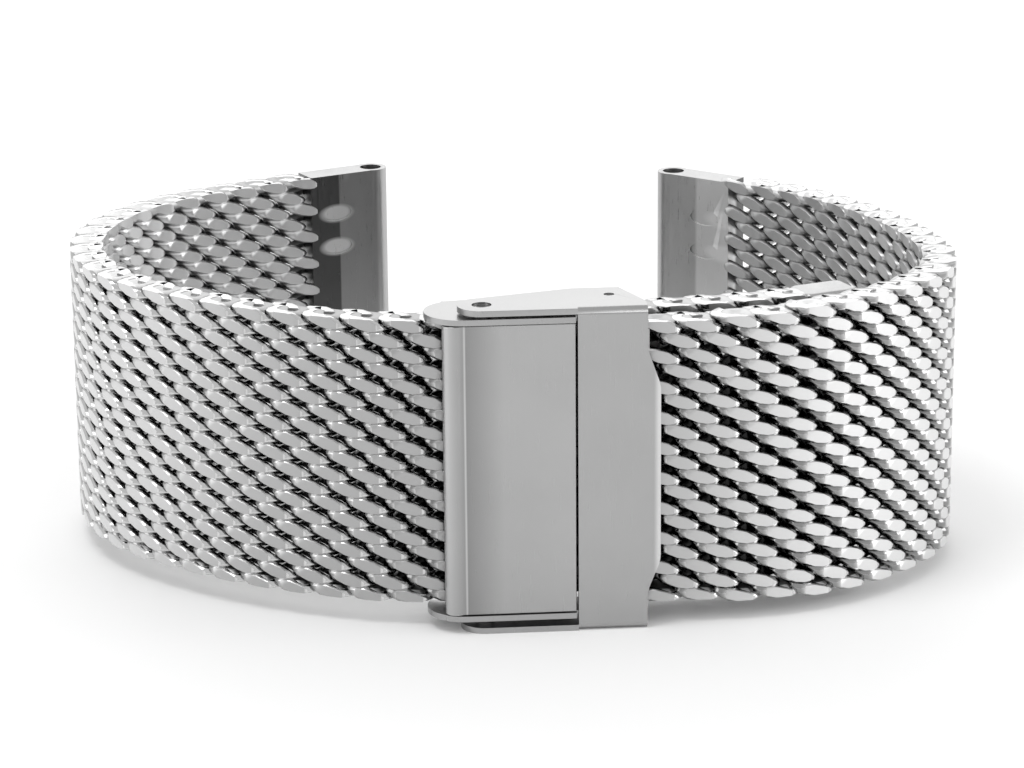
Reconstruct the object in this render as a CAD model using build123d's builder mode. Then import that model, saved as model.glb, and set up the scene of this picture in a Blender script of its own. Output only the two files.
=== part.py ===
from build123d import *
import os
from math import asin, atan2, cos, radians, sin

os.makedirs("parts", exist_ok=True)

# A milanese mesh watch band, closed and standing on its edge.
# Every piece is first laid out from the clasp: X runs along the clasp's face to the right,
# Y runs from the face towards the wrist, Z runs up across the band's width.
# At the end all pieces move together, so that the origin is under the middle of the band.
# Lengths are in millimetres and angles in degrees.

# Mesh
long_width = 19.3
short_flare = 0.8
lug_flare = 0.6
mesh_thickness = 2.4
coil_spacing = 1.3
coil_gap = 0.22
coil_turns = 9
edge_inset = 0.3
strand_slant = 14.0
groove_height = 0.9
groove_depth = 0.45

# Sheet metal and clearances
sheet = 0.4
pin_clearance = 0.05
swing_gap = 0.13
mesh_low_gap = 0.4
mesh_top_gap = 0.1
hook_gap = 0.3

# Slider: a channel that the long strap passes through
slider_face_length = 8.62
slope = 7.2
mesh_middle = (3.6, 3.5)
nose_x = 1.4
floor_gap = 0.15
floor_start = -3.2

# Catch bar that the short strap hooks on
catch_inset = 2.3
catch_y = 1.8
catch_radius = 0.45
ear_radius = 1.3

# Safety bracket
bracket_length = 13.3
bracket_depth = 5.0
bracket_nose = 1.6
bracket_corner_depth = 1.5
bracket_shoulder_inset = 1.4
bracket_bend = 0.5
bracket_low_gap = 0.45
bracket_high_gap = 0.18
pivot_x = 2.65
pivot_radius = 0.6
pivot_recess = 0.22
rivet_bore = 0.3
lip_reach = 0.85
lip_low = 2.6
lip_full_low = 4.7
lip_full_high = 16.7
lip_high = 19.1
dimple_inset = 2.2
dimple_y = 3.3
dimple_radius = 0.35
dimple_depth = 0.15

# Lock plate with its rolled hinge and cam
barrel_radius = 0.75
lock_pin_radius = 0.35
lock_face_set_back = 0.12
cam_radius = 0.45
cam_x = 0.95
cam_y = 1.38
flange_start = 3.0
flange_end = 8.2
flange_depth = 0.85
end_play = 0.05
socket_depth = 0.25

# Hook plate on the short strap
hook_block_length = 1.4
hook_block_depth = 2.1
hook_end_gap = 0.2
mouth_front = 60.0
mouth_back = 80.0

# Lug ends with their spring bar tubes
lug_reach = 5.6
tube_radius = 1.2
spring_bar_bore = 0.8
flap_thickness = 2.2
stake_long = 1.25
stake_short = 0.6
stake_depth = 0.12
stake_first = 3.0
stake_second = 5.6
stake_offset = 2.1

# Tail end cap
cap_length = 3.9
cap_thickness = 2.7
cap_corner = 0.5

# Number of coils in each stretch, and how much of the flare each short group has
slider_left_count = 3
slider_right_count = 6
long_group_counts = [3, 4, 5, 5, 5, 5, 5, 5, 5, 5]
tail_group_counts = [4, 3, 3]
short_group_counts = [4, 4, 4, 5, 5, 5, 5, 5, 5]
short_flare_shares = [0, 0.5, 1, 1, 1, 1, 1, 1, 1]

# Heights across the width, from the edge that the band stands on
wall_low = sheet + bracket_low_gap
channel_low = wall_low + sheet
channel_width = mesh_low_gap + long_width + mesh_top_gap
channel_high = channel_low + channel_width
wall_high = channel_high + sheet
bracket_height = wall_high + bracket_high_gap + sheet
long_middle = channel_high - mesh_top_gap - long_width / 2
hook_width = channel_width - 2 * hook_gap
short_middle = channel_low + channel_width / 2
short_widths = [hook_width + share * short_flare for share in short_flare_shares]
long_widths = [long_width for count in long_group_counts]
tail_widths = [long_width for count in tail_group_counts]
coil_width = coil_spacing - coil_gap
outer_offset = mesh_thickness / 2

# Places along the face, from the bracket's free end
catch_x = bracket_length - catch_inset
bracket_shoulder = bracket_length - bracket_shoulder_inset
dimple_x = bracket_length - dimple_inset
short_start_x = bracket_length + hook_end_gap
hook_block_start = short_start_x - hook_block_length

# Plan curves of the mesh's middle surface
short_face = 0.8
short_run = 4.4
front_bow = 19.1
front_bow_angle = 51.5
near_side = 11.4
near_side_angle = 42.2
back_bow = 30.5
back_bow_angle = 65.0

entry_run = 2.0
entry_bow = 14.2
entry_bow_angle = 26.0
long_bow = 33.8
long_bow_angle = 30.0
long_side = 17.4
long_side_angle = 97.0
long_back_bow = 56.0
long_back_bow_angle = 20.0

tail_bend_start = 1.2
tail_run = bracket_length + tail_bend_start
tail_bow = 28.0
tail_bow_angle = 30.0

along = Vector(cos(radians(slope)), sin(radians(slope)), 0)
inward = Vector(-sin(radians(slope)), cos(radians(slope)), 0)
slider_middle = Vector(mesh_middle[0], mesh_middle[1], 0)

with BuildLine() as short_line:
    short_start = Vector(short_start_x, short_face + outer_offset, 0)
    short_front = Line(short_start, short_start + Vector(short_run, 0, 0))
    short_bow = JernArc(short_front @ 1, short_front % 1, front_bow, front_bow_angle)
    short_side = JernArc(short_bow @ 1, short_bow % 1, near_side, near_side_angle)
    short_back = JernArc(short_side @ 1, short_side % 1, back_bow, back_bow_angle)

with BuildLine() as long_line:
    long_entry = Line(slider_middle, slider_middle - along * entry_run)
    long_hump = JernArc(long_entry @ 1, long_entry % 1, entry_bow, -entry_bow_angle)
    long_front = JernArc(long_hump @ 1, long_hump % 1, long_bow, -long_bow_angle)
    long_corner = JernArc(long_front @ 1, long_front % 1, long_side, -long_side_angle)
    long_back = JernArc(long_corner @ 1, long_corner % 1, long_back_bow, -long_back_bow_angle)

with BuildLine() as tail_line:
    tail_start = Line(slider_middle, slider_middle + along * tail_run)
    tail_end = JernArc(tail_start @ 1, tail_start % 1, tail_bow, tail_bow_angle)


short_path = short_line.wire()
long_path = long_line.wire()
tail_path = tail_line.wire()


def plane_along(path, distance, height):
    """A level plane on a plan curve, its X axis along the curve's direction at that distance."""
    point = path.position_at(distance, position_mode=PositionMode.LENGTH)
    direction = path.tangent_at(distance, position_mode=PositionMode.LENGTH)
    return Plane(origin=(point.X, point.Y, height), x_dir=(direction.X, direction.Y, 0), z_dir=(0, 0, 1))


coil_kinds = {}


def wire_coil(width, odd, inner_side):
    """One flattened spiral: a flat-oval bar, grooved on both faces between its slanting strands."""
    kind = (width, odd, inner_side)
    if kind in coil_kinds:
        return coil_kinds[kind]
    pitch = (width - 2 * edge_inset) / coil_turns
    with BuildPart() as coil:
        with BuildSketch():
            SlotOverall(mesh_thickness, coil_width, rotation=90)
        extrude(amount=width)
        for face_side in (inner_side, -inner_side):
            edge_groove = odd == (face_side != inner_side)
            first_groove = edge_inset if edge_groove else edge_inset + pitch / 2
            grooves = coil_turns + 1 if edge_groove else coil_turns
            facing = Vector(0, face_side, 0)
            level = facing * outer_offset
            with BuildSketch(Plane(origin=level, x_dir=(-face_side, 0, 0), z_dir=facing)):
                for groove in range(grooves):
                    with Locations((0, first_groove + groove * pitch)):
                        Rectangle(coil_spacing, groove_height, rotation=-strand_slant)
            extrude(amount=-groove_depth, mode=Mode.SUBTRACT)
    coil_kinds[kind] = coil.part
    return coil.part


def mesh_coils(path, first, count, middle, width, inner_side):
    """Some neighbouring wire coils of the mesh, each a solid of its own as wide as the band."""
    coils = []
    for index in range(first, first + count):
        place = plane_along(path, (index + 0.5) * coil_spacing, middle - width / 2).location
        coils.append(place * wire_coil(width, index % 2 == 1, inner_side))
    return Compound(coils)


def lug_end(path, coils, inner_side, middle, width):
    """The flat end piece of a strap, with its tube for the spring bar and four pressed stakes."""
    base = plane_along(path, coils * coil_spacing, middle - width / 2)
    with BuildPart() as lug:
        with BuildSketch(base):
            with Locations((lug_reach / 2, 0)):
                Rectangle(lug_reach, flap_thickness)
            with Locations((lug_reach, 0)):
                Circle(tube_radius)
                Circle(spring_bar_bore, mode=Mode.SUBTRACT)
        extrude(amount=width)
        side = base.y_dir * inner_side
        face_middle = base.origin + base.x_dir * stake_offset + side * (flap_thickness / 2)
        stakes = [stake_first, stake_second, width - stake_second, width - stake_first]
        with BuildSketch(Plane(origin=face_middle, x_dir=base.x_dir, z_dir=side)):
            for height in stakes:
                with Locations((0, -inner_side * height)):
                    Ellipse(stake_long, stake_short)
        extrude(amount=-stake_depth, mode=Mode.SUBTRACT)
    return lug.part


pieces = []


def keep(part, name):
    """Labels a finished piece and puts it on the list of pieces to write."""
    part.label = name
    pieces.append(part)


# Slider base: two walls with ears, joined by a sloping floor behind the mesh
floor_outer = slider_middle + inward * (outer_offset + floor_gap + sheet)
nose_radius = (
    floor_outer.Y * cos(radians(slope)) + (nose_x - floor_outer.X) * sin(radians(slope))
) / (1 + cos(radians(slope)))
floor_end = floor_outer + along * ((slider_face_length - floor_outer.X) / along.X)
nose_back = Vector(nose_x, nose_radius, 0) + inward * nose_radius
ear_front = catch_y - ear_radius
pivot_y = bracket_nose

with BuildPart() as slider_base:
    for height in (wall_low, channel_high):
        with BuildSketch(Plane.XY.offset(height)):
            with Locations((nose_x, nose_radius)):
                Circle(nose_radius)
            Polygon(
                (nose_x, 0), (slider_face_length, 0), (floor_end.X, floor_end.Y), (nose_back.X, nose_back.Y),
                align=None,
            )
            Polygon(
                (nose_x, ear_front), (catch_x, ear_front),
                (catch_x, catch_y + ear_radius), (nose_x, catch_y + ear_radius),
                align=None,
            )
            with Locations((catch_x, catch_y)):
                Circle(ear_radius)
        extrude(amount=sheet)
    floor_length = (floor_end - floor_outer).length - floor_start
    floor_middle = floor_outer + along * (floor_start + floor_length / 2) - inward * (sheet / 2)
    with BuildSketch(Plane(origin=floor_middle + Vector(0, 0, wall_low), x_dir=along, z_dir=(0, 0, 1))):
        Rectangle(floor_length, sheet)
    extrude(amount=wall_high - wall_low)
    with BuildSketch(Plane.XY.offset(wall_low)):
        with Locations((pivot_x, pivot_y)):
            Circle(pivot_radius)
        with Locations((catch_x, catch_y)):
            Circle(catch_radius)
    extrude(amount=wall_high - wall_low, mode=Mode.SUBTRACT)
    with BuildSketch(Plane.XY.offset(channel_low - socket_depth)):
        with Locations((barrel_radius, barrel_radius)):
            Circle(lock_pin_radius)
    extrude(amount=channel_width + 2 * socket_depth, mode=Mode.SUBTRACT)
keep(slider_base.part, "slider_base")

with BuildPart() as bracket_rivets:
    low_head = pivot_recess
    high_head = channel_high
    rivet_length = channel_low - low_head
    for height in (low_head, high_head):
        with BuildSketch(Plane.XY.offset(height)):
            with Locations((pivot_x, pivot_y)):
                Circle(pivot_radius)
                Circle(rivet_bore, mode=Mode.SUBTRACT)
        extrude(amount=rivet_length if height == low_head else bracket_height - pivot_recess - high_head)
keep(bracket_rivets.part, "bracket_rivets")

with BuildPart() as catch_bar:
    with BuildSketch(Plane.XY.offset(wall_low)):
        with Locations((catch_x, catch_y)):
            Circle(catch_radius)
    extrude(amount=wall_high - wall_low)
keep(catch_bar.part, "catch_bar")

with BuildPart() as lock_pin:
    with BuildSketch(Plane.XY.offset(channel_low - socket_depth)):
        with Locations((barrel_radius, barrel_radius)):
            Circle(lock_pin_radius)
    extrude(amount=channel_width + 2 * socket_depth)
keep(lock_pin.part, "lock_pin")

# Lock plate: face, rolled hinge barrel, cam that presses the mesh, and two side flanges
lock_low = channel_low + end_play
lock_height = channel_width - 2 * end_play
lock_end = slider_face_length
with BuildPart() as lock_plate:
    with BuildSketch(Plane.XY.offset(lock_low)):
        with Locations((barrel_radius, barrel_radius)):
            Circle(barrel_radius)
        with Locations((cam_x, cam_y)):
            Circle(cam_radius)
        Polygon(
            (barrel_radius, lock_face_set_back), (lock_end, lock_face_set_back),
            (lock_end, lock_face_set_back + sheet), (barrel_radius, lock_face_set_back + sheet),
            align=None,
        )
        with Locations((barrel_radius, barrel_radius)):
            Circle(lock_pin_radius + pin_clearance, mode=Mode.SUBTRACT)
    extrude(amount=lock_height)
    for height in (lock_low, lock_low + lock_height - sheet):
        with BuildSketch(Plane.XY.offset(height)):
            Polygon(
                (flange_start, lock_face_set_back), (flange_end, lock_face_set_back),
                (flange_end, lock_face_set_back + sheet + flange_depth),
                (flange_start, lock_face_set_back + sheet + flange_depth),
                align=None,
            )
        extrude(amount=sheet)
keep(lock_plate.part, "lock_plate")

# Safety bracket: a front plate bent into two arms that swing on the rivets
plate_start = slider_face_length + swing_gap
pivot = Vector(pivot_x, pivot_y, 0)
arm_back = Vector(plate_start, bracket_depth, 0)
reach = arm_back - pivot
touch_angle = radians(90) + atan2(reach.Y, reach.X) - asin(bracket_nose / reach.length)
arm_touch = pivot + Vector(cos(touch_angle), sin(touch_angle), 0) * bracket_nose

with BuildPart() as safety_bracket:
    with BuildSketch(Plane.YZ.offset(plate_start)) as channel:
        with Locations((bracket_corner_depth / 2, bracket_height / 2)):
            Rectangle(bracket_corner_depth, bracket_height)
        fillet(channel.vertices().sort_by(Axis.X)[:2], bracket_bend)
        with Locations((sheet + bracket_corner_depth / 2, bracket_height / 2)):
            Rectangle(bracket_corner_depth, bracket_height - 2 * sheet, mode=Mode.SUBTRACT)
    extrude(amount=bracket_length - plate_start)
    for height in (0, bracket_height - sheet):
        with BuildSketch(Plane.XY.offset(height)):
            with Locations((pivot_x, pivot_y)):
                Circle(bracket_nose)
            Polygon(
                (pivot_x, 0), (plate_start, 0), (plate_start, bracket_bend), (bracket_length, bracket_bend),
                (bracket_length, bracket_corner_depth), (bracket_shoulder, bracket_depth),
                (arm_back.X, arm_back.Y), (arm_touch.X, arm_touch.Y), (pivot_x, pivot_y),
                align=None,
            )
            with Locations((pivot_x, pivot_y)):
                Circle(pivot_radius + pin_clearance, mode=Mode.SUBTRACT)
        extrude(amount=sheet)
    with BuildSketch(Plane.XZ):
        Polygon(
            (plate_start, lip_low), (bracket_length, lip_low),
            (bracket_length + lip_reach, lip_full_low), (bracket_length + lip_reach, lip_full_high),
            (bracket_length, lip_high), (plate_start, lip_high),
            align=None,
        )
    extrude(amount=-sheet)
    for outer, inner in ((0, sheet), (bracket_height, bracket_height - sheet)):
        press = dimple_depth if outer < inner else -dimple_depth
        with BuildSketch(Plane.XY.offset(outer)):
            with Locations((dimple_x, dimple_y)):
                Circle(dimple_radius)
        extrude(amount=press, mode=Mode.SUBTRACT)
        with BuildSketch(Plane.XY.offset(inner)):
            with Locations((dimple_x, dimple_y)):
                Circle(dimple_radius)
        extrude(amount=press)
keep(safety_bracket.part, "safety_bracket")

# Hook plate: a strip rolled round the catch bar and folded into the bar that ends the short mesh
hook_inner = catch_radius + pin_clearance
hook_outer = hook_inner + sheet
mouth_far = 2 * hook_outer
with BuildPart() as hook_plate:
    with BuildSketch(Plane.XY.offset(short_middle - hook_width / 2)):
        with Locations((catch_x, catch_y)):
            Circle(hook_outer)
            Polygon(
                (0, 0),
                (mouth_far * cos(radians(-mouth_front)), mouth_far * sin(radians(-mouth_front))),
                (mouth_far, 0),
                (mouth_far * cos(radians(mouth_back)), mouth_far * sin(radians(mouth_back))),
                align=None, mode=Mode.SUBTRACT,
            )
        Polygon(
            (catch_x, catch_y - hook_outer), (short_start_x, catch_y - hook_outer),
            (short_start_x, catch_y - hook_outer + hook_block_depth),
            (hook_block_start, catch_y - hook_outer + hook_block_depth),
            (hook_block_start, catch_y - hook_inner), (catch_x, catch_y - hook_inner),
            align=None,
        )
        with Locations((catch_x, catch_y)):
            Circle(hook_inner, mode=Mode.SUBTRACT)
    extrude(amount=hook_width)
keep(hook_plate.part, "hook_plate")

# The part of the long mesh that lies in the slider
slider_left_coils = mesh_coils(long_path, 0, slider_left_count, long_middle, long_width, -1)
slider_right_coils = mesh_coils(tail_path, 0, slider_right_count, long_middle, long_width, 1)
keep(Compound([*slider_left_coils.solids(), *slider_right_coils.solids()]), "slider_mesh")

# The three free stretches of mesh, each cut into short groups of coils
coils_done = {}
for name, path, first, counts, widths, middle, inner_side in (
    ("short_mesh", short_path, 0, short_group_counts, short_widths, short_middle, 1),
    ("long_mesh", long_path, slider_left_count, long_group_counts, long_widths, long_middle, -1),
    ("tail_mesh", tail_path, slider_right_count, tail_group_counts, tail_widths, long_middle, 1),
):
    for number, (count, width) in enumerate(zip(counts, widths), 1):
        keep(mesh_coils(path, first, count, middle, width, inner_side), f"{name}_{number:02d}")
        first += count
    coils_done[name] = first

keep(lug_end(short_path, coils_done["short_mesh"], 1, short_middle, hook_width + lug_flare), "short_lug_end")
keep(lug_end(long_path, coils_done["long_mesh"], -1, long_middle, long_width), "long_lug_end")

cap_plane = plane_along(tail_path, coils_done["tail_mesh"] * coil_spacing, long_middle - long_width / 2)
with BuildPart() as tail_end_cap:
    with BuildSketch(cap_plane):
        with Locations((cap_length / 2, 0)):
            RectangleRounded(cap_length, cap_thickness, cap_corner)
    extrude(amount=long_width)
keep(tail_end_cap.part, "tail_end_cap")

# Everything moves so that the origin lies under the middle of the band
box = Compound(pieces).bounding_box()
to_origin = Location((-(box.min.X + box.max.X) / 2, -(box.min.Y + box.max.Y) / 2, -box.min.Z))
for piece in pieces:
    piece.move(to_origin)
    export_step(piece, f"parts/{piece.label}.step")
print("the band measures", [round(size, 2) for size in tuple(box.size)])
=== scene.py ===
# %% [markdown]
# # A milanese mesh watch band
# The band stands on its edge, clasp to the front. Its frame of solid parts is already built, and
# this lesson dresses it: the woven wire, the pressed clasp, the lug ends and a white table.
# Blender gets every length in metres. The size is an estimate of the real one.

# %% Load the frame
from math import cos, pi, radians, sin

import bmesh
import bpy
import numpy as np
from mathutils import Matrix, Vector


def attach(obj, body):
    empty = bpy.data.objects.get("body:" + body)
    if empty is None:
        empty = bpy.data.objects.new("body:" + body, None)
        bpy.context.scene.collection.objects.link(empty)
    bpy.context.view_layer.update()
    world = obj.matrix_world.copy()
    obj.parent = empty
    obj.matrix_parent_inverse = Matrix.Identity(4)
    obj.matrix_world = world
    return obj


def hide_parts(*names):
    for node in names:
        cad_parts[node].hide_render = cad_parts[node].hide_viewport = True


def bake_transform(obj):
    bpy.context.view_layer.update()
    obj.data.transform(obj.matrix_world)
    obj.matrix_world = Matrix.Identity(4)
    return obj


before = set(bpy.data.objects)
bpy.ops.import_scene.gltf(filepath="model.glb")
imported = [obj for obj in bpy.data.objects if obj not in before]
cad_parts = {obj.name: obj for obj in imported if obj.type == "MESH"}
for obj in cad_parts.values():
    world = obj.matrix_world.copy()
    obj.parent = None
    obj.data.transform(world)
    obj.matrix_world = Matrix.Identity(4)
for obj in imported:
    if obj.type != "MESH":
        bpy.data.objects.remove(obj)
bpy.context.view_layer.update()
MM = 0.001

# %% [markdown]
# ## Camera
# The camera was fitted to the corners of the clasp in the photograph: a long lens, a little above
# the band and a few degrees to its left. The film is shifted, because the band stands low.

# %% Camera
PICTURE_WIDTH = 1024
PIXELS_LOW = 60
camera_place = Vector((-18.206, -239.543, 81.77)) * MM
camera_turn = radians(4.46)
camera_dip = radians(15.656)
camera_roll = radians(0.5)
look = Vector((sin(camera_turn) * cos(camera_dip), cos(camera_turn) * cos(camera_dip),
               -sin(camera_dip)))
level_right = look.cross(Vector((0, 0, 1))).normalized()
level_up = level_right.cross(look)
camera_right = level_right * cos(camera_roll) - level_up * sin(camera_roll)
camera_up = level_right * sin(camera_roll) + level_up * cos(camera_roll)

camera_data = bpy.data.cameras.new("photo_camera")
camera_data.sensor_width = 36
camera_data.lens = 123.05
camera_data.shift_y = -PIXELS_LOW / PICTURE_WIDTH
camera_data.clip_start = 0.01
camera = bpy.data.objects.new("photo_camera", camera_data)
turn = Matrix((camera_right, camera_up, -look)).transposed().to_4x4()
camera.matrix_world = Matrix.Translation(camera_place) @ turn
bpy.context.collection.objects.link(camera)
bpy.context.scene.camera = camera
bpy.context.scene.view_settings.view_transform = "Standard"
print("camera looks along", [round(value, 3) for value in look])

# %% [markdown]
# ## Light
# Polished metal shows what stands around it. The room is one plain light grey, and four soft
# boxes stand behind the band, above it and at both sides: the tops get near white, the fronts grey.

# %% Light
ROOM_GREY = 0.8
room = bpy.data.worlds.new("white_room")
room.use_nodes = True
backdrop = room.node_tree.nodes["Background"]
backdrop.inputs["Color"].default_value = (ROOM_GREY, ROOM_GREY, ROOM_GREY, 1)
backdrop.inputs["Strength"].default_value = 1.0
bpy.context.scene.world = room
BAND_MIDDLE = Vector((0, 0, 0.01))


def soft_box(name, place, size, watts):
    """A square area lamp at place, facing the band. Its size is the length of its side."""
    lamp = bpy.data.lights.new(name, "AREA")
    lamp.energy = watts
    lamp.size = size
    holder = bpy.data.objects.new(name, lamp)
    holder.location = place
    holder.visible_camera = False
    holder.rotation_euler = (BAND_MIDDLE - Vector(place)).to_track_quat("-Z", "Y").to_euler()
    bpy.context.collection.objects.link(holder)


soft_box("back_light", (0.0, 0.36, 0.24), 0.34, 0.38)
soft_box("top_light", (-0.10, -0.08, 0.34), 0.12, 0.25)
soft_box("left_light", (-0.36, -0.12, 0.08), 0.24, 0.3)
soft_box("right_light", (0.36, -0.12, 0.08), 0.24, 0.5)

# %% [markdown]
# ## Surfaces from numbers
# Every new piece is a grid of points that numpy works out at once. One helper joins a grid into
# faces, and one more turns points and faces into a Blender mesh.

# %% Grid and mesh helpers
def grid_faces(rows, columns, start=0):
    """Quads of a grid whose points run row by row, each row a closed ring of columns points."""
    row = np.arange(rows - 1)[:, None] * columns
    here = np.arange(columns)[None, :]
    there = (here + 1) % columns
    below = row + columns
    quads = np.stack([row + here, below + here, below + there, row + there], axis=-1)
    return (quads + start).reshape(-1, 4)


def mesh_piece(name, points, quads, caps=(), smooth_angle=35, **point_values):
    """A mesh object from points, quads and end rings, with named numbers kept at its points.

    Edges between faces that meet at more than smooth_angle degrees stay sharp."""
    mesh = bpy.data.meshes.new(name)
    faces = [tuple(quad) for quad in quads.tolist()] + [tuple(ring) for ring in caps]
    mesh.from_pydata(points.tolist(), [], faces)
    for label, values in point_values.items():
        layer = mesh.attributes.new(label, "FLOAT", "POINT")
        layer.data.foreach_set("value", np.ascontiguousarray(values, dtype=np.float32).ravel())
    mesh.shade_smooth()
    mesh.set_sharp_from_angle(angle=radians(smooth_angle))
    mesh.validate()
    piece = bpy.data.objects.new(name, mesh)
    bpy.context.collection.objects.link(piece)
    return piece


# %% [markdown]
# ## The lines the mesh follows
# Seen from above, each strap is a straight run and a few arcs. A coil stands at every 1.3 mm of
# that line and faces away from the wrist. Places are in mm from the clasp's front left corner.

# %% Plan curves of the straps
COIL_SPACING = 1.3
SHORT_COILS, LONG_COILS = 42, 50
CLASP_ORIGIN = np.array([-5.871, -23.809])
HOOK_START = (13.5, 2.0)
SLIDER_MIDDLE = (3.6, 3.5)
SLOPE = 7.2
SHORT_ARCS = [(19.1, 51.5), (11.4, 42.2), (30.5, 65.0)]
LONG_ARCS = [(14.2, -26.0), (33.8, -30.0), (17.4, -97.0), (56.0, -20.0)]
TAIL_ARCS = [(28.0, 30.0)]


def plan_curve(start, heading, run, arcs, distance):
    """Points and headings at given distances along a straight run followed by arcs.

    Each arc is (radius, angle): on it the heading grows by distance over radius, and the point
    moves by radius times the change of the heading's sine and minus its cosine.
    A negative angle turns clockwise. Beyond the last arc the line goes on straight."""
    distance = np.asarray(distance, dtype=float)
    point = np.array(start, dtype=float)
    angle = radians(heading)
    x = point[0] + distance * cos(angle)
    y = point[1] + distance * sin(angle)
    turned = np.full_like(distance, angle)
    done = run
    point = point + run * np.array([cos(angle), sin(angle)])
    for radius, bend in arcs:
        way = 1 if bend > 0 else -1
        length = radius * radians(abs(bend))
        on = distance > done
        part = np.minimum(distance - done, length)
        beyond = np.maximum(distance - done - length, 0)
        now = angle + way * part / radius
        arc_x = way * radius * (np.sin(now) - sin(angle)) + beyond * np.cos(now)
        arc_y = way * radius * (cos(angle) - np.cos(now)) + beyond * np.sin(now)
        x = np.where(on, point[0] + arc_x, x)
        y = np.where(on, point[1] + arc_y, y)
        turned = np.where(on, now, turned)
        end = angle + radians(bend)
        point = point + way * radius * np.array([sin(end) - sin(angle), cos(angle) - cos(end)])
        angle = end
        done += length
    return np.stack([x, y], axis=-1) + CLASP_ORIGIN, turned


def short_curve(distance):
    """The short strap, from the hook plate round the right side to the watch."""
    return plan_curve(HOOK_START, 0, 4.4, SHORT_ARCS, distance)


def long_curve(distance):
    """The long strap, from the slider round the left side to the watch."""
    return plan_curve(SLIDER_MIDDLE, 180 + SLOPE, 2.0, LONG_ARCS, distance)


def tail_curve(distance):
    """The long strap's tail, from the slider to its end behind the short strap."""
    return plan_curve(SLIDER_MIDDLE, SLOPE, 14.5, TAIL_ARCS, distance)


print("short strap ends at", short_curve([SHORT_COILS * COIL_SPACING])[0].round(2))
print("long strap ends at", long_curve([LONG_COILS * COIL_SPACING])[0].round(2))

# %% [markdown]
# ## Building materials from nodes
# A material is a small network of nodes. Most of them do one sum, map or mix, so each of these
# has a helper that takes plain values and other nodes' outputs alike and returns its own output.

# %% Node helpers
def feed(tree, socket, value):
    """Joins a socket to another node's output, or writes a plain value on it."""
    if isinstance(value, bpy.types.NodeSocket):
        tree.links.new(value, socket)
    else:
        socket.default_value = value


def grey(value):
    """A grey colour from a plain number. An output socket stays as it is."""
    return value if isinstance(value, bpy.types.NodeSocket) else (value, value, value, 1)


def maths(tree, operation, *values):
    """One sum on numbers."""
    node = tree.nodes.new("ShaderNodeMath")
    node.operation = operation
    for socket, value in zip(node.inputs, values):
        feed(tree, socket, value)
    return node.outputs["Value"]


def vector_maths(tree, operation, *values):
    """One sum on vectors. The length is a number, every other result is a vector."""
    node = tree.nodes.new("ShaderNodeVectorMath")
    node.operation = operation
    for socket, value in zip(node.inputs, values):
        feed(tree, socket, value)
    return node.outputs["Value" if operation == "LENGTH" else "Vector"]


def in_span(tree, value, start, end, low=0.0, high=1.0, rise="LINEAR"):
    """Maps a number from start and end to low and high, and holds it at those beyond them."""
    node = tree.nodes.new("ShaderNodeMapRange")
    node.interpolation_type = rise
    feed(tree, node.inputs["Value"], value)
    feed(tree, node.inputs["From Min"], start)
    feed(tree, node.inputs["From Max"], end)
    feed(tree, node.inputs["To Min"], low)
    feed(tree, node.inputs["To Max"], high)
    return node.outputs["Result"]


def mixed(tree, amount, first, second, way="MIX"):
    """Two colours mixed by a number between 0 and 1. A plain number stands for a grey."""
    node = tree.nodes.new("ShaderNodeMix")
    node.data_type = "RGBA"
    node.blend_type = way
    feed(tree, node.inputs["Factor"], amount)
    feed(tree, node.inputs["A"], grey(first))
    feed(tree, node.inputs["B"], grey(second))
    return node.outputs["Result"]


def split(tree, vector):
    """The X, Y and Z of a vector."""
    node = tree.nodes.new("ShaderNodeSeparateXYZ")
    tree.links.new(vector, node.inputs["Vector"])
    return node.outputs


def own_place(tree):
    """Where the shaded point lies on the object, as X, Y and Z in metres."""
    return split(tree, tree.nodes.new("ShaderNodeTexCoord").outputs["Object"])


def facing(tree):
    """Which way the shaded face looks, as X, Y and Z."""
    return split(tree, tree.nodes.new("ShaderNodeNewGeometry").outputs["Normal"])


def kept_number(tree, label):
    """A number that was kept at the mesh's points."""
    node = tree.nodes.new("ShaderNodeAttribute")
    node.attribute_name = label
    return node.outputs["Fac"]


def new_metal(name):
    """A new metal material, with its node tree and its shader."""
    material = bpy.data.materials.new(name)
    material.use_nodes = True
    shader = material.node_tree.nodes["Principled BSDF"]
    shader.inputs["Metallic"].default_value = 1.0
    return material, material.node_tree, shader


def bumped(tree, shader, height, strength, distance):
    """Tilts the shading as if the surface rose and fell by distance, in metres."""
    bump = tree.nodes.new("ShaderNodeBump")
    bump.inputs["Strength"].default_value = strength
    bump.inputs["Distance"].default_value = distance
    tree.links.new(height, bump.inputs["Height"])
    tree.links.new(bump.outputs["Normal"], shader.inputs["Normal"])


# %% [markdown]
# ## Shared lines
# Brushed metal carries fine lines, so the lines are made once as a node group: noise stretched
# along one direction. Each material places the group with its own scale.

# %% Node group for fine lines
def add_socket(group, name, way, kind, value=None):
    """Adds a named socket to a node group."""
    socket = group.interface.new_socket(name=name, in_out=way, socket_type=kind)
    if value is not None:
        socket.default_value = value


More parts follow.
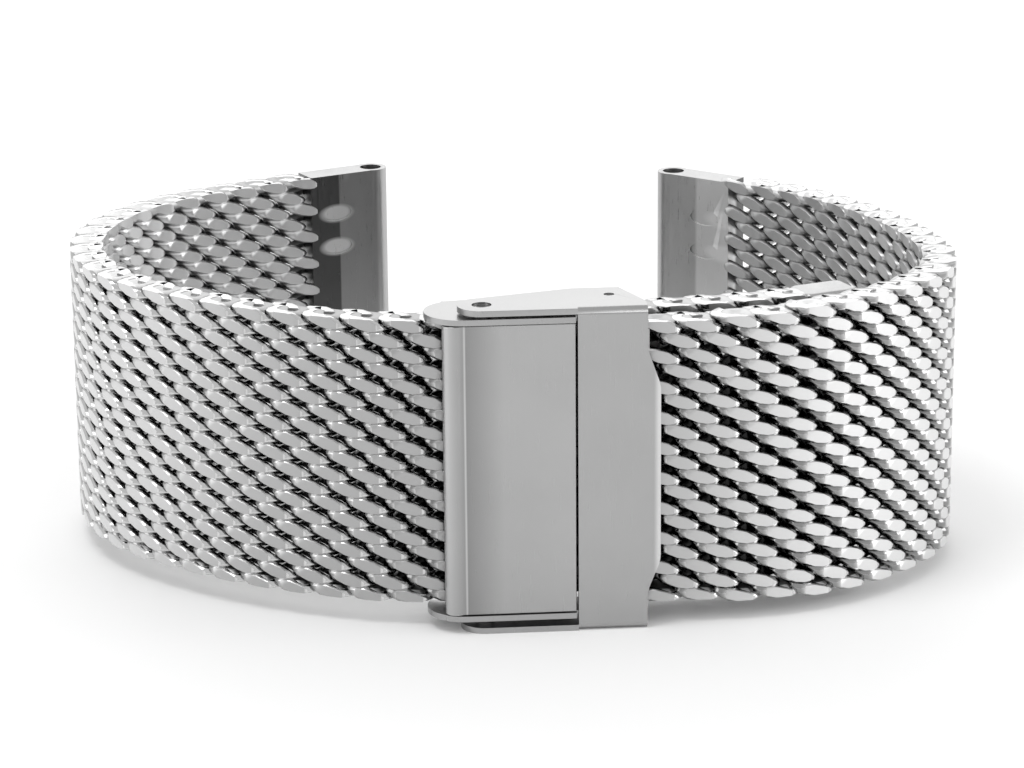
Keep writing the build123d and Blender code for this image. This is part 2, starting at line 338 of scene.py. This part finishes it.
def line_group():
    """Stretched noise: one fine layer for the lines and one broad layer for uneven tone."""
    group = bpy.data.node_groups.new("metal_lines", "ShaderNodeTree")
    add_socket(group, "Lines Per Metre", "INPUT", "NodeSocketVector", (4000.0, 4000.0, 200.0))
    add_socket(group, "Cloud Scale", "INPUT", "NodeSocketFloat", 300.0)
    add_socket(group, "Lines", "OUTPUT", "NodeSocketFloat")
    add_socket(group, "Clouds", "OUTPUT", "NodeSocketFloat")
    nodes, links = group.nodes, group.links
    given = nodes.new("NodeGroupInput")
    result = nodes.new("NodeGroupOutput")
    where = nodes.new("ShaderNodeTexCoord").outputs["Object"]
    lines = nodes.new("ShaderNodeTexNoise")
    lines.inputs["Scale"].default_value = 1.0
    lines.inputs["Detail"].default_value = 3.0
    lines.inputs["Roughness"].default_value = 0.65
    clouds = nodes.new("ShaderNodeTexNoise")
    clouds.inputs["Detail"].default_value = 4.0
    stretched = vector_maths(group, "MULTIPLY", where, given.outputs["Lines Per Metre"])
    links.new(stretched, lines.inputs["Vector"])
    links.new(where, clouds.inputs["Vector"])
    links.new(given.outputs["Cloud Scale"], clouds.inputs["Scale"])
    links.new(lines.outputs["Fac"], result.inputs["Lines"])
    links.new(clouds.outputs["Fac"], result.inputs["Clouds"])
    return group


metal_lines = line_group()
NOISE_LOW, NOISE_HIGH = 0.3, 0.7


def grain(tree, cloud_scale):
    """A node that gives the shared lines to one material."""
    node = tree.nodes.new("ShaderNodeGroup")
    node.node_tree = metal_lines
    node.inputs["Cloud Scale"].default_value = cloud_scale
    return node


# %% [markdown]
# ## Sheet and bar finishes, with painted reflections and shade
# The clasp is satin: fine lines run up its height and spread the reflections sideways. Pins and
# lug ends differ in their numbers alone, and their turned and brushed looks are guesses.
# A few zones have a grey of their own: painted reflections, highlights and shade. The zones of the
# plate, the bracket and the lug ends began as greys read off the photograph, place by place along
# each part. Most of those were dropped, and the rest were changed by comparing renders with the
# photograph. They stand in for what the metal mirrors there, not for a difference in finish. The
# bracket also gets painted shade in the gap between its arms.

# %% Brushed metal materials
CLASP_LEFT, LONG_LUG_LEFT, SHORT_LUG_LEFT = -5.871, -14.11, 13.12
STAKE_HALF_WIDTH, STAKE_HALF_HEIGHT = 1.15, 0.62
STAKE_GREY = 0.72
OUTER_LUG_GREYS = (0.38, 0.46)
# Grey of the painted shade in the bracket's gap.
GAP_SHADE_GREY = 0.11
ZONED_GREYS = (0.90, 0.98)


def painted_reflection_zones(tree, colour, zones, left):
    """Multiplies a colour by a grey that changes along the part.

    Zones are pairs of a distance from the part's left end, in mm, and a grey. Between two of
    them the grey changes evenly. The greys are painted reflections, highlights and shade."""
    places = [place for place, tone in zones]
    length = places[-1] - places[0]
    along = in_span(tree, own_place(tree)["X"], (left + places[0]) * MM, (left + places[-1]) * MM)
    ramp = tree.nodes.new("ShaderNodeValToRGB")
    tree.links.new(along, ramp.inputs["Fac"])
    stops = ramp.color_ramp.elements
    stops[1].position = 1.0
    for place in places[1:-1]:
        stops.new((place - places[0]) / length)
    for stop, (place, tone) in zip(stops, zones):
        stop.color = grey(tone)
    return mixed(tree, 1.0, colour, ramp.outputs["Color"], "MULTIPLY")


def staked(tree, outer, inner, stakes):
    """The lug's wrist side: the inner colour with light oval stakes. Its other sides are outer.

    Stakes are their place along the band, the lug's middle height and their distances from that
    middle, in mm. A stake is where the offset, divided by its half width and half height, is
    shorter than one."""
    place, middle_height, distances = stakes
    where = own_place(tree)
    folded = tree.nodes.new("ShaderNodeCombineXYZ")
    from_middle = maths(tree, "ABSOLUTE", maths(tree, "SUBTRACT", where["Z"], middle_height * MM))
    tree.links.new(where["X"], folded.inputs["X"])
    tree.links.new(from_middle, folded.inputs["Z"])
    per_metre = (1 / (STAKE_HALF_WIDTH * MM), 0, 1 / (STAKE_HALF_HEIGHT * MM))
    for distance in distances:
        centre = (place * MM, 0, distance * MM)
        offset = vector_maths(tree, "SUBTRACT", folded.outputs["Vector"], centre)
        size = vector_maths(tree, "LENGTH", vector_maths(tree, "MULTIPLY", offset, per_metre))
        inner = mixed(tree, in_span(tree, size, 1.25, 0.75), inner, STAKE_GREY)
    wrist_side = in_span(tree, facing(tree)["Y"], -0.2, -0.5)
    return mixed(tree, wrist_side, outer, inner)


def painted_gap_shade(tree, colour, low, high):
    """Darkens level faces between two heights in mm: painted shade for the dark gap inside the
    bracket, between its arms.
    """
    z = own_place(tree)["Z"]
    above = maths(tree, "GREATER_THAN", z, low * MM)
    below = maths(tree, "LESS_THAN", z, high * MM)
    level = maths(tree, "GREATER_THAN", maths(tree, "ABSOLUTE", facing(tree)["Z"]), 0.7)
    inside = maths(tree, "MULTIPLY", maths(tree, "MULTIPLY", above, below), level)
    return mixed(tree, inside, colour, GAP_SHADE_GREY)


def brushed_metal(name, greys, finish, zones=None, left=CLASP_LEFT, stakes=None, gap=None):
    """Steel whose colour, roughness and height follow the fine lines.

    A finish is its two roughnesses, its lines per metre along each axis, the scale of its
    clouds and the height of its lines in metres."""
    roughness, lines_per_metre, cloud_scale, height = finish
    material, tree, shader = new_metal(name)
    lines = grain(tree, cloud_scale)
    lines.inputs["Lines Per Metre"].default_value = lines_per_metre
    tone = in_span(tree, lines.outputs["Clouds"], NOISE_LOW, NOISE_HIGH)
    colour = mixed(tree, tone, *greys)
    if zones is not None:
        colour = painted_reflection_zones(tree, colour, zones, left)
    if stakes is not None:
        colour = staked(tree, mixed(tree, tone, *OUTER_LUG_GREYS), colour, stakes)
    if gap is not None:
        colour = painted_gap_shade(tree, colour, *gap)
    tree.links.new(colour, shader.inputs["Base Color"])
    rough = in_span(tree, lines.outputs["Lines"], NOISE_LOW, NOISE_HIGH, *roughness)
    tree.links.new(rough, shader.inputs["Roughness"])
    bumped(tree, shader, lines.outputs["Lines"], 0.25, height)
    return material


SATIN = ((0.27, 0.33), (9000.0, 9000.0, 260.0), 120.0, 0.000003)
TURNED = ((0.16, 0.28), (2500.0, 2500.0, 9000.0), 900.0, 0.00001)
BRUSHED = ((0.26, 0.40), (9000.0, 9000.0, 500.0), 250.0, 0.00001)
LUG_BRUSHED = BRUSHED[:3] + (0.000005,)
satin_sheet = brushed_metal("satin_sheet", (0.38, 0.42), SATIN)
# Painted highlight on the rolled barrel and on the light line at its seam, and painted shade in the
# dark band beside it.
barrel_and_plate_painted_light = [(0.0, 0.54), (1.3, 0.33), (1.4, 0.58), (1.5, 0.29), (3.9, 0.44)]
rolled_satin_painted_light = brushed_metal("rolled_satin_painted_light", ZONED_GREYS, SATIN, barrel_and_plate_painted_light)
# Painted highlight on the bracket's lip, and painted shade in the gap between its arms.
face_and_lip_painted_light = [(0.0, 0.42), (13.7, 0.42), (14.0, 0.68)]
folded_satin_painted_light = brushed_metal("folded_satin_painted_light", ZONED_GREYS, SATIN, face_and_lip_painted_light, gap=(0.3, 21.75))
turned_pin = brushed_metal("turned_pin", (0.36, 0.44), TURNED)
# Painted reflection and shade on the long lug end: a dark zone, a lighter middle and a light edge.
long_lug_painted_zones = [(0.0, 0.10), (3.0, 0.10), (3.1, 0.30), (5.9, 0.30), (6.1, 0.48)]
long_lug_stakes = (-11.3, 11.3, (4.05, 6.65))
long_lug_metal_painted_light = brushed_metal("long_lug_metal_painted_light", ZONED_GREYS, LUG_BRUSHED, long_lug_painted_zones,
                               LONG_LUG_LEFT, long_lug_stakes)
# Painted reflection and shade on the short lug end: a plain zone, a light band and a dark edge.
short_lug_painted_zones = [(0.0, 0.42), (2.5, 0.42), (2.7, 0.64), (5.4, 0.64), (5.6, 0.15)]
short_lug_stakes = (17.6, 11.15, (4.3, 6.9))
short_lug_metal_painted_light = brushed_metal("short_lug_metal_painted_light", ZONED_GREYS, LUG_BRUSHED, short_lug_painted_zones,
                                SHORT_LUG_LEFT, short_lug_stakes)
brushed_end = brushed_metal("brushed_end", (0.38, 0.46), BRUSHED)

# %% [markdown]
# ## Wire finish and painted light
# The wire is bright steel with flat pressed faces. Between the coils the band looks nearly black,
# so a number kept at each point, how deep it lies, paints shade into the recesses. A second number
# marks the pressed faces, which are duller than the round flanks. Pressed faces get a painted
# reflection: lighter away from the clasp, and on the wrist's side darker to the right. Those greys
# were matched to the photograph and stand in for what the faces mirror.

# %% Wire material
CLASP_MIDDLE_X = -0.006
FLANK_GREY = 0.60


def wire_finish():
    """Bright wire with painted shade where the kept openness says it lies inside the mesh."""
    material, tree, shader = new_metal("bright_wire")
    x = own_place(tree)["X"]
    from_clasp = maths(tree, "ABSOLUTE", maths(tree, "ADD", x, -CLASP_MIDDLE_X))
    # Painted reflection on the pressed faces and painted shade in the recesses, both lighter away
    # from the clasp.
    away = in_span(tree, from_clasp, 0.010, 0.027, rise="SMOOTHSTEP")
    outer_pressed_reflection = mixed(tree, away, 0.41, 0.74)
    wrist_pressed_reflection = mixed(tree, in_span(tree, x, -0.02, 0.02), 0.68, 0.46)
    pressed_reflection_tone = mixed(tree, kept_number(tree, "wrist_side"), outer_pressed_reflection, wrist_pressed_reflection)
    pressed = in_span(tree, kept_number(tree, "pressed"), 0.7, 0.9)
    open_tone = mixed(tree, pressed, FLANK_GREY, pressed_reflection_tone)
    recess_shade = mixed(tree, away, 0.01, 0.14)
    colour = mixed(tree, kept_number(tree, "openness"), recess_shade, open_tone)
    tree.links.new(colour, shader.inputs["Base Color"])
    rough = in_span(tree, pressed, 0.3, 0.7, 0.14, 0.36)
    tree.links.new(rough, shader.inputs["Roughness"])
    bumped(tree, shader, grain(tree, 700.0).outputs["Clouds"], 0.2, 0.00002)
    return material


bright_wire = wire_finish()

# %% [markdown]
# ## One coil of the mesh
# The mesh is woven from flattened spirals, each screwed into the next one. Seen from outside every
# strand falls to the right, and strands of neighbouring coils stand half a pitch apart. A rounded
# rectangle (a superellipse) gives the loop, the height falls along it, and the crowns are cut
# flat, as pressing leaves them.

# %% Coil surface
COIL_HALF_WIDTH = 1.34
COIL_HALF_DEPTH = 0.88
WIRE_HALF_THICK = 0.45
WIRE_HALF_TALL = 0.53
END_NARROWING = 0.38
LOOP_TILT = radians(4)
PRESSED_DEPTH = 1.17
SQUARENESS = 2.5
STRAND_FALL = 0.3
EDGE_INSET = 0.3
LEAST_COVER = 0.14
TURNS = 9
HALF_TURN_STEPS = np.radians([-76.0, -50.0, -35.0, -20.0, 0.0, 20.0, 35.0, 50.0, 76.0])
LEAST_FACET = radians(8)
REAR_ANGLES = np.radians([-130.0, -90.0, 90.0, 130.0, 180.0])
EVEN_OVERRUN, ODD_OVERRUN = radians(150), radians(95)
# Painted shade: how far light reaches in from the band's edges, the shade under the next coil and
# the least openness of the wrist's side.
RIM_REACH = 0.3
UNDER_SHADE = 0.62
INNER_OPENNESS = 0.7
TOUCH = 0.001


def signed_power(value, power):
    """The power of a number's size, with the number's own sign."""
    return np.sign(value) * np.abs(value) ** power


def tilted(side, out):
    """Turns a side and an outward coordinate by the loop's tilt."""
    return (side * cos(LOOP_TILT) - out * sin(LOOP_TILT),
            side * sin(LOOP_TILT) + out * cos(LOOP_TILT))


def rising(value, start, span):
    """Zero up to start, one beyond start plus span, and an even rise between."""
    return np.clip((value - start) / span, 0, 1)


def coil_surface(low, high, odd):
    """Side, outward and height coordinates of one coil's skin, with three numbers at each point:
    how open it lies, which sets the painted shade, whether it is pressed flat, and whether it is
    on the wrist's side.

    The loop is a superellipse: side = half width times sin to the 2/m, outward = half depth times
    cos to the 2/m. Along a strand the height falls in step with the side, and on the loop's two
    sides it falls the rest of the pitch in step with the outward coordinate. Round the wire, the
    skin is thick times cos in the loop's own normal and tall times sin upwards, and the height
    shrinks with the square of the side. Pressing limits the outward coordinate and the height."""
    pitch = (high - low - 2 * EDGE_INSET) / TURNS
    halves = np.arange(-1, 2 * TURNS + 3)
    along = (halves[:, None] * pi + HALF_TURN_STEPS[None, :]).ravel()
    first_crown, overrun = (pi, ODD_OVERRUN) if odd else (0.0, EVEN_OVERRUN)
    last_crown = first_crown + 2 * TURNS * pi
    along = along[(along > first_crown - overrun) & (along < last_crown + overrun)]
    sine, cosine = np.sin(along), np.cos(along)
    across = signed_power(sine, 2 / SQUARENESS)
    deep = signed_power(cosine, 2 / SQUARENESS)
    fall = STRAND_FALL * pitch
    turn = np.floor((along + pi / 2) / (2 * pi))
    drop = pitch / 2 - fall
    front = cosine >= 0
    on_right = across > 0
    front_fall = fall / 2 * across + np.where(on_right, drop, -drop) * (1 - deep) / 2
    rear_fall = fall * (1 - across / 2) + drop / 2 * np.where(on_right, 1 - deep, 3 + deep)
    top = high - EDGE_INSET + (pitch / 2 if odd else 0)
    height = top - turn * pitch - np.where(front, front_fall, rear_fall)
    height = np.clip(height, low + LEAST_COVER, high - LEAST_COVER)
    normal_side = signed_power(sine, 2 - 2 / SQUARENESS) / COIL_HALF_WIDTH
    normal_out = signed_power(cosine, 2 - 2 / SQUARENESS) / COIL_HALF_DEPTH
    size = np.hypot(normal_side, normal_out)
    normal_side, normal_out = normal_side / size, normal_out / size
    side, out = COIL_HALF_WIDTH * across, COIL_HALF_DEPTH * deep
    side, out = tilted(side, out)
    normal_side, normal_out = tilted(normal_side, normal_out)
    reach = (PRESSED_DEPTH - np.abs(out)) / (WIRE_HALF_THICK * np.maximum(np.abs(normal_out), 0.01))
    facet = np.maximum(np.arccos(np.clip(reach, -1, 1)), LEAST_FACET)
    shoulder = (facet + pi / 2) / 2
    rear = [np.full_like(facet, angle) for angle in REAR_ANGLES]
    around = np.stack(rear[:2] + [-shoulder, -facet, facet, shoulder] + rear[2:], axis=1)
    tall = WIRE_HALF_TALL * (1 - END_NARROWING * across ** 2)
    thick = WIRE_HALF_THICK * np.cos(around)
    u = side[:, None] + thick * normal_side[:, None]
    v = np.clip(out[:, None] + thick * normal_out[:, None], -PRESSED_DEPTH, PRESSED_DEPTH)
    w = np.clip(height[:, None] + tall[:, None] * np.sin(around), low, high)
    on_plane = np.abs(v) > PRESSED_DEPTH - TOUCH
    # Painted shade: openness falls in the recesses and under the next coil, and rises on the
    # wrist's side and at the band's edges.
    seen = rising(np.abs(v), 0.1, 0.4) * rising(np.cos(around), -0.1, 0.32)
    under_next = UNDER_SHADE * rising(-across, 0.25, 0.4)[:, None] * ~on_plane
    seen = seen * (1 - under_next)
    wrist_skin = ~front[:, None] & (np.cos(around) > -0.05)
    strand_back = front[:, None] & (np.cos(around) < -0.3)
    inner = wrist_skin | strand_back
    seen = np.where(wrist_skin, np.maximum(seen, INNER_OPENNESS), seen)
    seen = np.where(strand_back, INNER_OPENNESS, seen)
    at_rim = 1 - rising(np.minimum(high - w, w - low), 0, RIM_REACH)
    pressed = np.where(inner, 1.0, on_plane * 1.0)
    return u, v, w, np.maximum(seen, at_rim), pressed, inner * 1.0


PAD_SCALES = np.array([0.80, 0.98, 1.00, 0.93, 0.76, 0.45, 0.22])
PAD_DEPTHS = np.array([0.75, 0.55, 0.30, 0.10, 0.01, 0.02, 0.14])
PAD_STEPS = np.arange(12) * pi / 6
PAD_HALF_WIDTH, PAD_HALF_DEPTH = 1.18, 1.12
# Painted shade: the welded pads are a little darker.
PAD_OPENNESS = 0.8


def end_pad(edge, way):
    """The welded pad that closes a coil at the band's edge: rings of one rounded rectangle.

    Ring by ring the outline (cos and sin to the power one half) shrinks by a scale while its
    depth below the edge falls to almost nothing, and the last rings sink into the weld's dimple."""
    outline_side = PAD_HALF_WIDTH * signed_power(np.cos(PAD_STEPS), 0.5)
    outline_out = PAD_HALF_DEPTH * signed_power(np.sin(PAD_STEPS), 0.5)
    u = PAD_SCALES[:, None] * outline_side[None, :]
    v = PAD_SCALES[:, None] * outline_out[None, :]
    w = np.repeat(edge - way * PAD_DEPTHS[:, None], len(PAD_STEPS), axis=1)
    openness = np.full_like(u, PAD_OPENNESS)
    return u[:, ::way], v[:, ::way], w, openness, np.ones_like(u), np.zeros_like(u)


def mesh_group(name, curve, outward_way, first, count, low, high, odd_first=False):
    """Neighbouring coils as one piece: each coil's skin is set on the strap's line.

    A skin point lies at the coil's middle plus side times the right-hand direction plus outward
    times the direction away from the wrist, and its height is kept."""
    index = np.arange(first, first + count)
    middles, headings = curve((index + 0.5) * COIL_SPACING)
    out = outward_way * np.stack([np.sin(headings), -np.cos(headings)], axis=-1)
    right = np.stack([-out[:, 1], out[:, 0]], axis=-1)
    points, quads, caps, kept, start = [], [], [], [], 0
    for number, middle, out_way, right_way in zip(index, middles, out, right):
        odd = (number % 2 == 1) != odd_first
        skins = [coil_surface(low, high, odd)]
        if not odd:
            skins += [end_pad(high, 1), end_pad(low, -1)]
        for u, v, w, *numbers in skins:
            flat = middle + u[..., None] * right_way + v[..., None] * out_way
            points.append(np.concatenate([flat, w[..., None]], axis=-1).reshape(-1, 3))
            kept.append(np.stack([values.ravel() for values in numbers]))
            rows, columns = u.shape
            quads.append(grid_faces(rows, columns, start))
            end = start + rows * columns
            caps.append(list(range(start, start + columns)))
            caps.append(list(range(end - columns, end))[::-1])
            start = end
    openness, pressed, wrist_side = np.concatenate(kept, axis=1)
    piece = mesh_piece(name, np.concatenate(points) * MM, np.concatenate(quads), caps,
                       openness=openness, pressed=pressed, wrist_side=wrist_side)
    piece.data.materials.append(bright_wire)
    return piece


# %% [markdown]
# ## Weaving the straps
# Each stretch of solid coils in the frame gets its woven piece.

# %% Short strap, long strap and tail
LONG_LOW, LONG_HIGH = 1.65, 20.95
SHORT_MIDDLE = 11.15
STRAP_MIDDLE = 11
SLIDER_LEFT_COILS, SLIDER_RIGHT_COILS = 3, 6
short_counts = [4, 4, 4, 5, 5, 5, 5, 5, 5]
long_counts = [3, 4, 5, 5, 5, 5, 5, 5, 5, 5]
tail_counts = [4, 3, 3]
short_widths = 19.2 + 0.8 * np.minimum(np.arange(len(short_counts)) / 2, 1)


def point_on(curve, distance):
    """The point of a strap's line at a distance, half way up the band, as a place in metres."""
    x, y = curve([distance])[0][0]
    return (x * MM, y * MM, STRAP_MIDDLE * MM)


def weave(label, body_label, curve, way, start, counts, lows, highs, before, odd_first=False):
    """One piece for each group of coils. Only the first piece of a strap with no body before it is
    attached to its own body.
    """
    first = start
    for number, (count, low, high) in enumerate(zip(counts, lows, highs), 1):
        node = f"{label}_{number:02d}"
        body = f"{body_label}_{number:02d}"
        piece = mesh_group("woven_" + node, curve, way, first, count, low, high, odd_first)
        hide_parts(node)
        if before is None:
            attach(piece, body)
        else:
            hinge = point_on(curve, first * COIL_SPACING)
            far = point_on(curve, (first + count) * COIL_SPACING)
            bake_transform(piece)
        before = body
        first += count
    print(label, "has coils", start, "to", first - 1)


weave("short_mesh", "short_strap", short_curve, 1, 0, short_counts,
      SHORT_MIDDLE - short_widths / 2, SHORT_MIDDLE + short_widths / 2, None)
weave("long_mesh", "long_strap", long_curve, -1, SLIDER_LEFT_COILS, long_counts,
      [LONG_LOW] * len(long_counts), [LONG_HIGH] * len(long_counts), "long_run")
weave("tail_mesh", "tail", tail_curve, 1, SLIDER_RIGHT_COILS, tail_counts,
      [LONG_LOW] * len(tail_counts), [LONG_HIGH] * len(tail_counts), "long_run", True)

# %% The mesh inside the slider
left_run = mesh_group("woven_slider_left", long_curve, -1, 0, SLIDER_LEFT_COILS, LONG_LOW,
                      LONG_HIGH)
right_run = mesh_group("woven_slider_right", tail_curve, 1, 0, SLIDER_RIGHT_COILS, LONG_LOW,
                       LONG_HIGH, True)
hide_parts("slider_mesh")
for run in (left_run, right_run):
    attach(run, "long_run")

# %% [markdown]
# ## Softened edges
# Real sheet and bars have no knife edges, and the photograph shows thin bright lines along the
# clasp's edges. A copy of the solid part is merged into whole faces, and a Bevel modifier rounds
# its sharp edges. How far each edge is rounded is a guess.

# %% Soften the clasp and the ends
SAME_PLACE, FLAT, SLIVER, WELDED = 0.000001, radians(1), 0.000003, 0.000002
SHARP = radians(30)
CLOSE, CORNER_REACH = 0.01, 0.15


def edge_ends(mesh):
    """The two end points of every edge in mm, as an array of edges by ends by coordinates."""
    places = np.empty(len(mesh.vertices) * 3, dtype=np.float32)
    mesh.vertices.foreach_get("co", places)
    ends = np.empty(len(mesh.edges) * 2, dtype=np.int32)
    mesh.edges.foreach_get("vertices", ends)
    return places.reshape(-1, 3)[ends.reshape(-1, 2)] / MM


def bevelled(shape, edges, width, segments):
    """Rounds some edges of a shape by a width in mm."""
    if edges:
        bmesh.ops.bevel(shape, geom=edges, offset=width * MM, offset_type="OFFSET",
                        segments=segments, profile=0.5, affect="EDGES", clamp_overlap=True)
    print(len(edges), "edges rounded by", width, "mm")


def softened(name, node_name, body, material, width, corners=(), corner_width=0.0,
             bend_width=0.0):
    """A copy of a solid part with every edge sharper than 30 degrees rounded by width, in mm.

    Corners are places (side, height) in mm of edges that cross the sheet: these get a wide curve.
    Bend_width rounds the front edges at the top and the bottom, where the sheet is folded."""
    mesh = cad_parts[node_name].data.copy()
    mesh.name = name
    shape = bmesh.new()
    shape.from_mesh(mesh)
    bmesh.ops.remove_doubles(shape, verts=shape.verts, dist=SAME_PLACE)
    bmesh.ops.dissolve_limit(shape, angle_limit=FLAT, verts=shape.verts, edges=shape.edges)
    bmesh.ops.dissolve_degenerate(shape, dist=SLIVER, edges=shape.edges)
    if corners:
        shape.to_mesh(mesh)
        ends = edge_ends(mesh)
        one, step = ends[:, 0], np.abs(ends[:, 0] - ends[:, 1])
        to_rim = np.minimum(ends[..., 2].max() - one[:, 2], one[:, 2] - ends[..., 2].min())
        in_front = (ends[..., 1] - ends[..., 1].min()).max(axis=1) < CLOSE
        folded_edge = (step[:, 2] < CLOSE) & (to_rim < CLOSE) & in_front
        offsets = np.abs(one[:, None, ::2] - np.array(corners)[None])
        at_corner = (offsets < CORNER_REACH).all(axis=2).any(axis=1)
        at_corner &= (step[:, 0] < CLOSE) & (step[:, 2] < CLOSE)
        shape.edges.ensure_lookup_table()
        crossing = [shape.edges[index] for index in np.flatnonzero(at_corner)]
        bends = [shape.edges[index] for index in np.flatnonzero(folded_edge)]
        bevelled(shape, crossing, corner_width, 6)
        bevelled(shape, [edge for edge in bends if edge.is_valid], bend_width, 5)
    shape.to_mesh(mesh)
    shape.free()
    mesh.materials.clear()
    mesh.materials.append(material)
    mesh.shade_smooth()
    mesh.set_sharp_from_angle(angle=SHARP)
    piece = bpy.data.objects.new(name, mesh)
    bpy.context.collection.objects.link(piece)
    bevel = piece.modifiers.new("rounded_edges", "BEVEL")
    bevel.width = width * MM
    bevel.segments = 2
    bevel.limit_method = "ANGLE"
    bevel.angle_limit = SHARP
    bevel.harden_normals = True
    weld = piece.modifiers.new("welded_slivers", "WELD")
    weld.merge_threshold = WELDED
    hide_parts(node_name)
    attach(piece, body)


lip_corners = [(CLASP_LEFT + place, height)
               for place in (13.3, 14.15) for height in (2.6, 4.7, 16.7, 19.1)]
softened("pressed_bracket", "safety_bracket", "bracket", folded_satin_painted_light, 0.09,
         lip_corners, 0.4, 0.34)
softened("pressed_slider", "slider_base", "slider", satin_sheet, 0.07)
softened("rolled_lock_plate", "lock_plate", "lock", rolled_satin_painted_light, 0.06)
softened("milled_tail_cap", "tail_end_cap", "tail_03", brushed_end, 0.2)
softened("milled_short_lug", "short_lug_end", "short_strap_09", short_lug_metal_painted_light, 0.12)
softened("milled_long_lug", "long_lug_end", "long_strap_10", long_lug_metal_painted_light, 0.12)
softened("folded_hook", "hook_plate", "short_strap_01", brushed_end, 0.06)

# %% [markdown]
# ## Finishes of the pins
# The rivets, the catch bar and the lock pin keep their solid shapes and take the turned finish.

# %% Finishes on the frame
for name in ("bracket_rivets", "catch_bar", "lock_pin"):
    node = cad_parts[name]
    if not node.material_slots:
        node.data.materials.append(turned_pin)
    for material_slot in node.material_slots:
        material_slot.material = turned_pin

# %% [markdown]
# ## The table
# A plain white sheet under the band.

# %% Table
TABLE_REACH = 3.0
TABLE_WHITE = 0.98
table_corners = [(side * TABLE_REACH, away * TABLE_REACH, 0)
                 for side, away in ((-1, -1), (1, -1), (1, 1), (-1, 1))]
table_mesh = bpy.data.meshes.new("table")
table_mesh.from_pydata(table_corners, [], [(0, 1, 2, 3)])
table = bpy.data.objects.new("table", table_mesh)
bpy.context.collection.objects.link(table)
table_white = bpy.data.materials.new("table_white")
table_white.use_nodes = True
table_shader = table_white.node_tree.nodes["Principled BSDF"]
table_shader.inputs["Base Color"].default_value = grey(TABLE_WHITE)
table_shader.inputs["Roughness"].default_value = 0.9
table_mesh.materials.append(table_white)
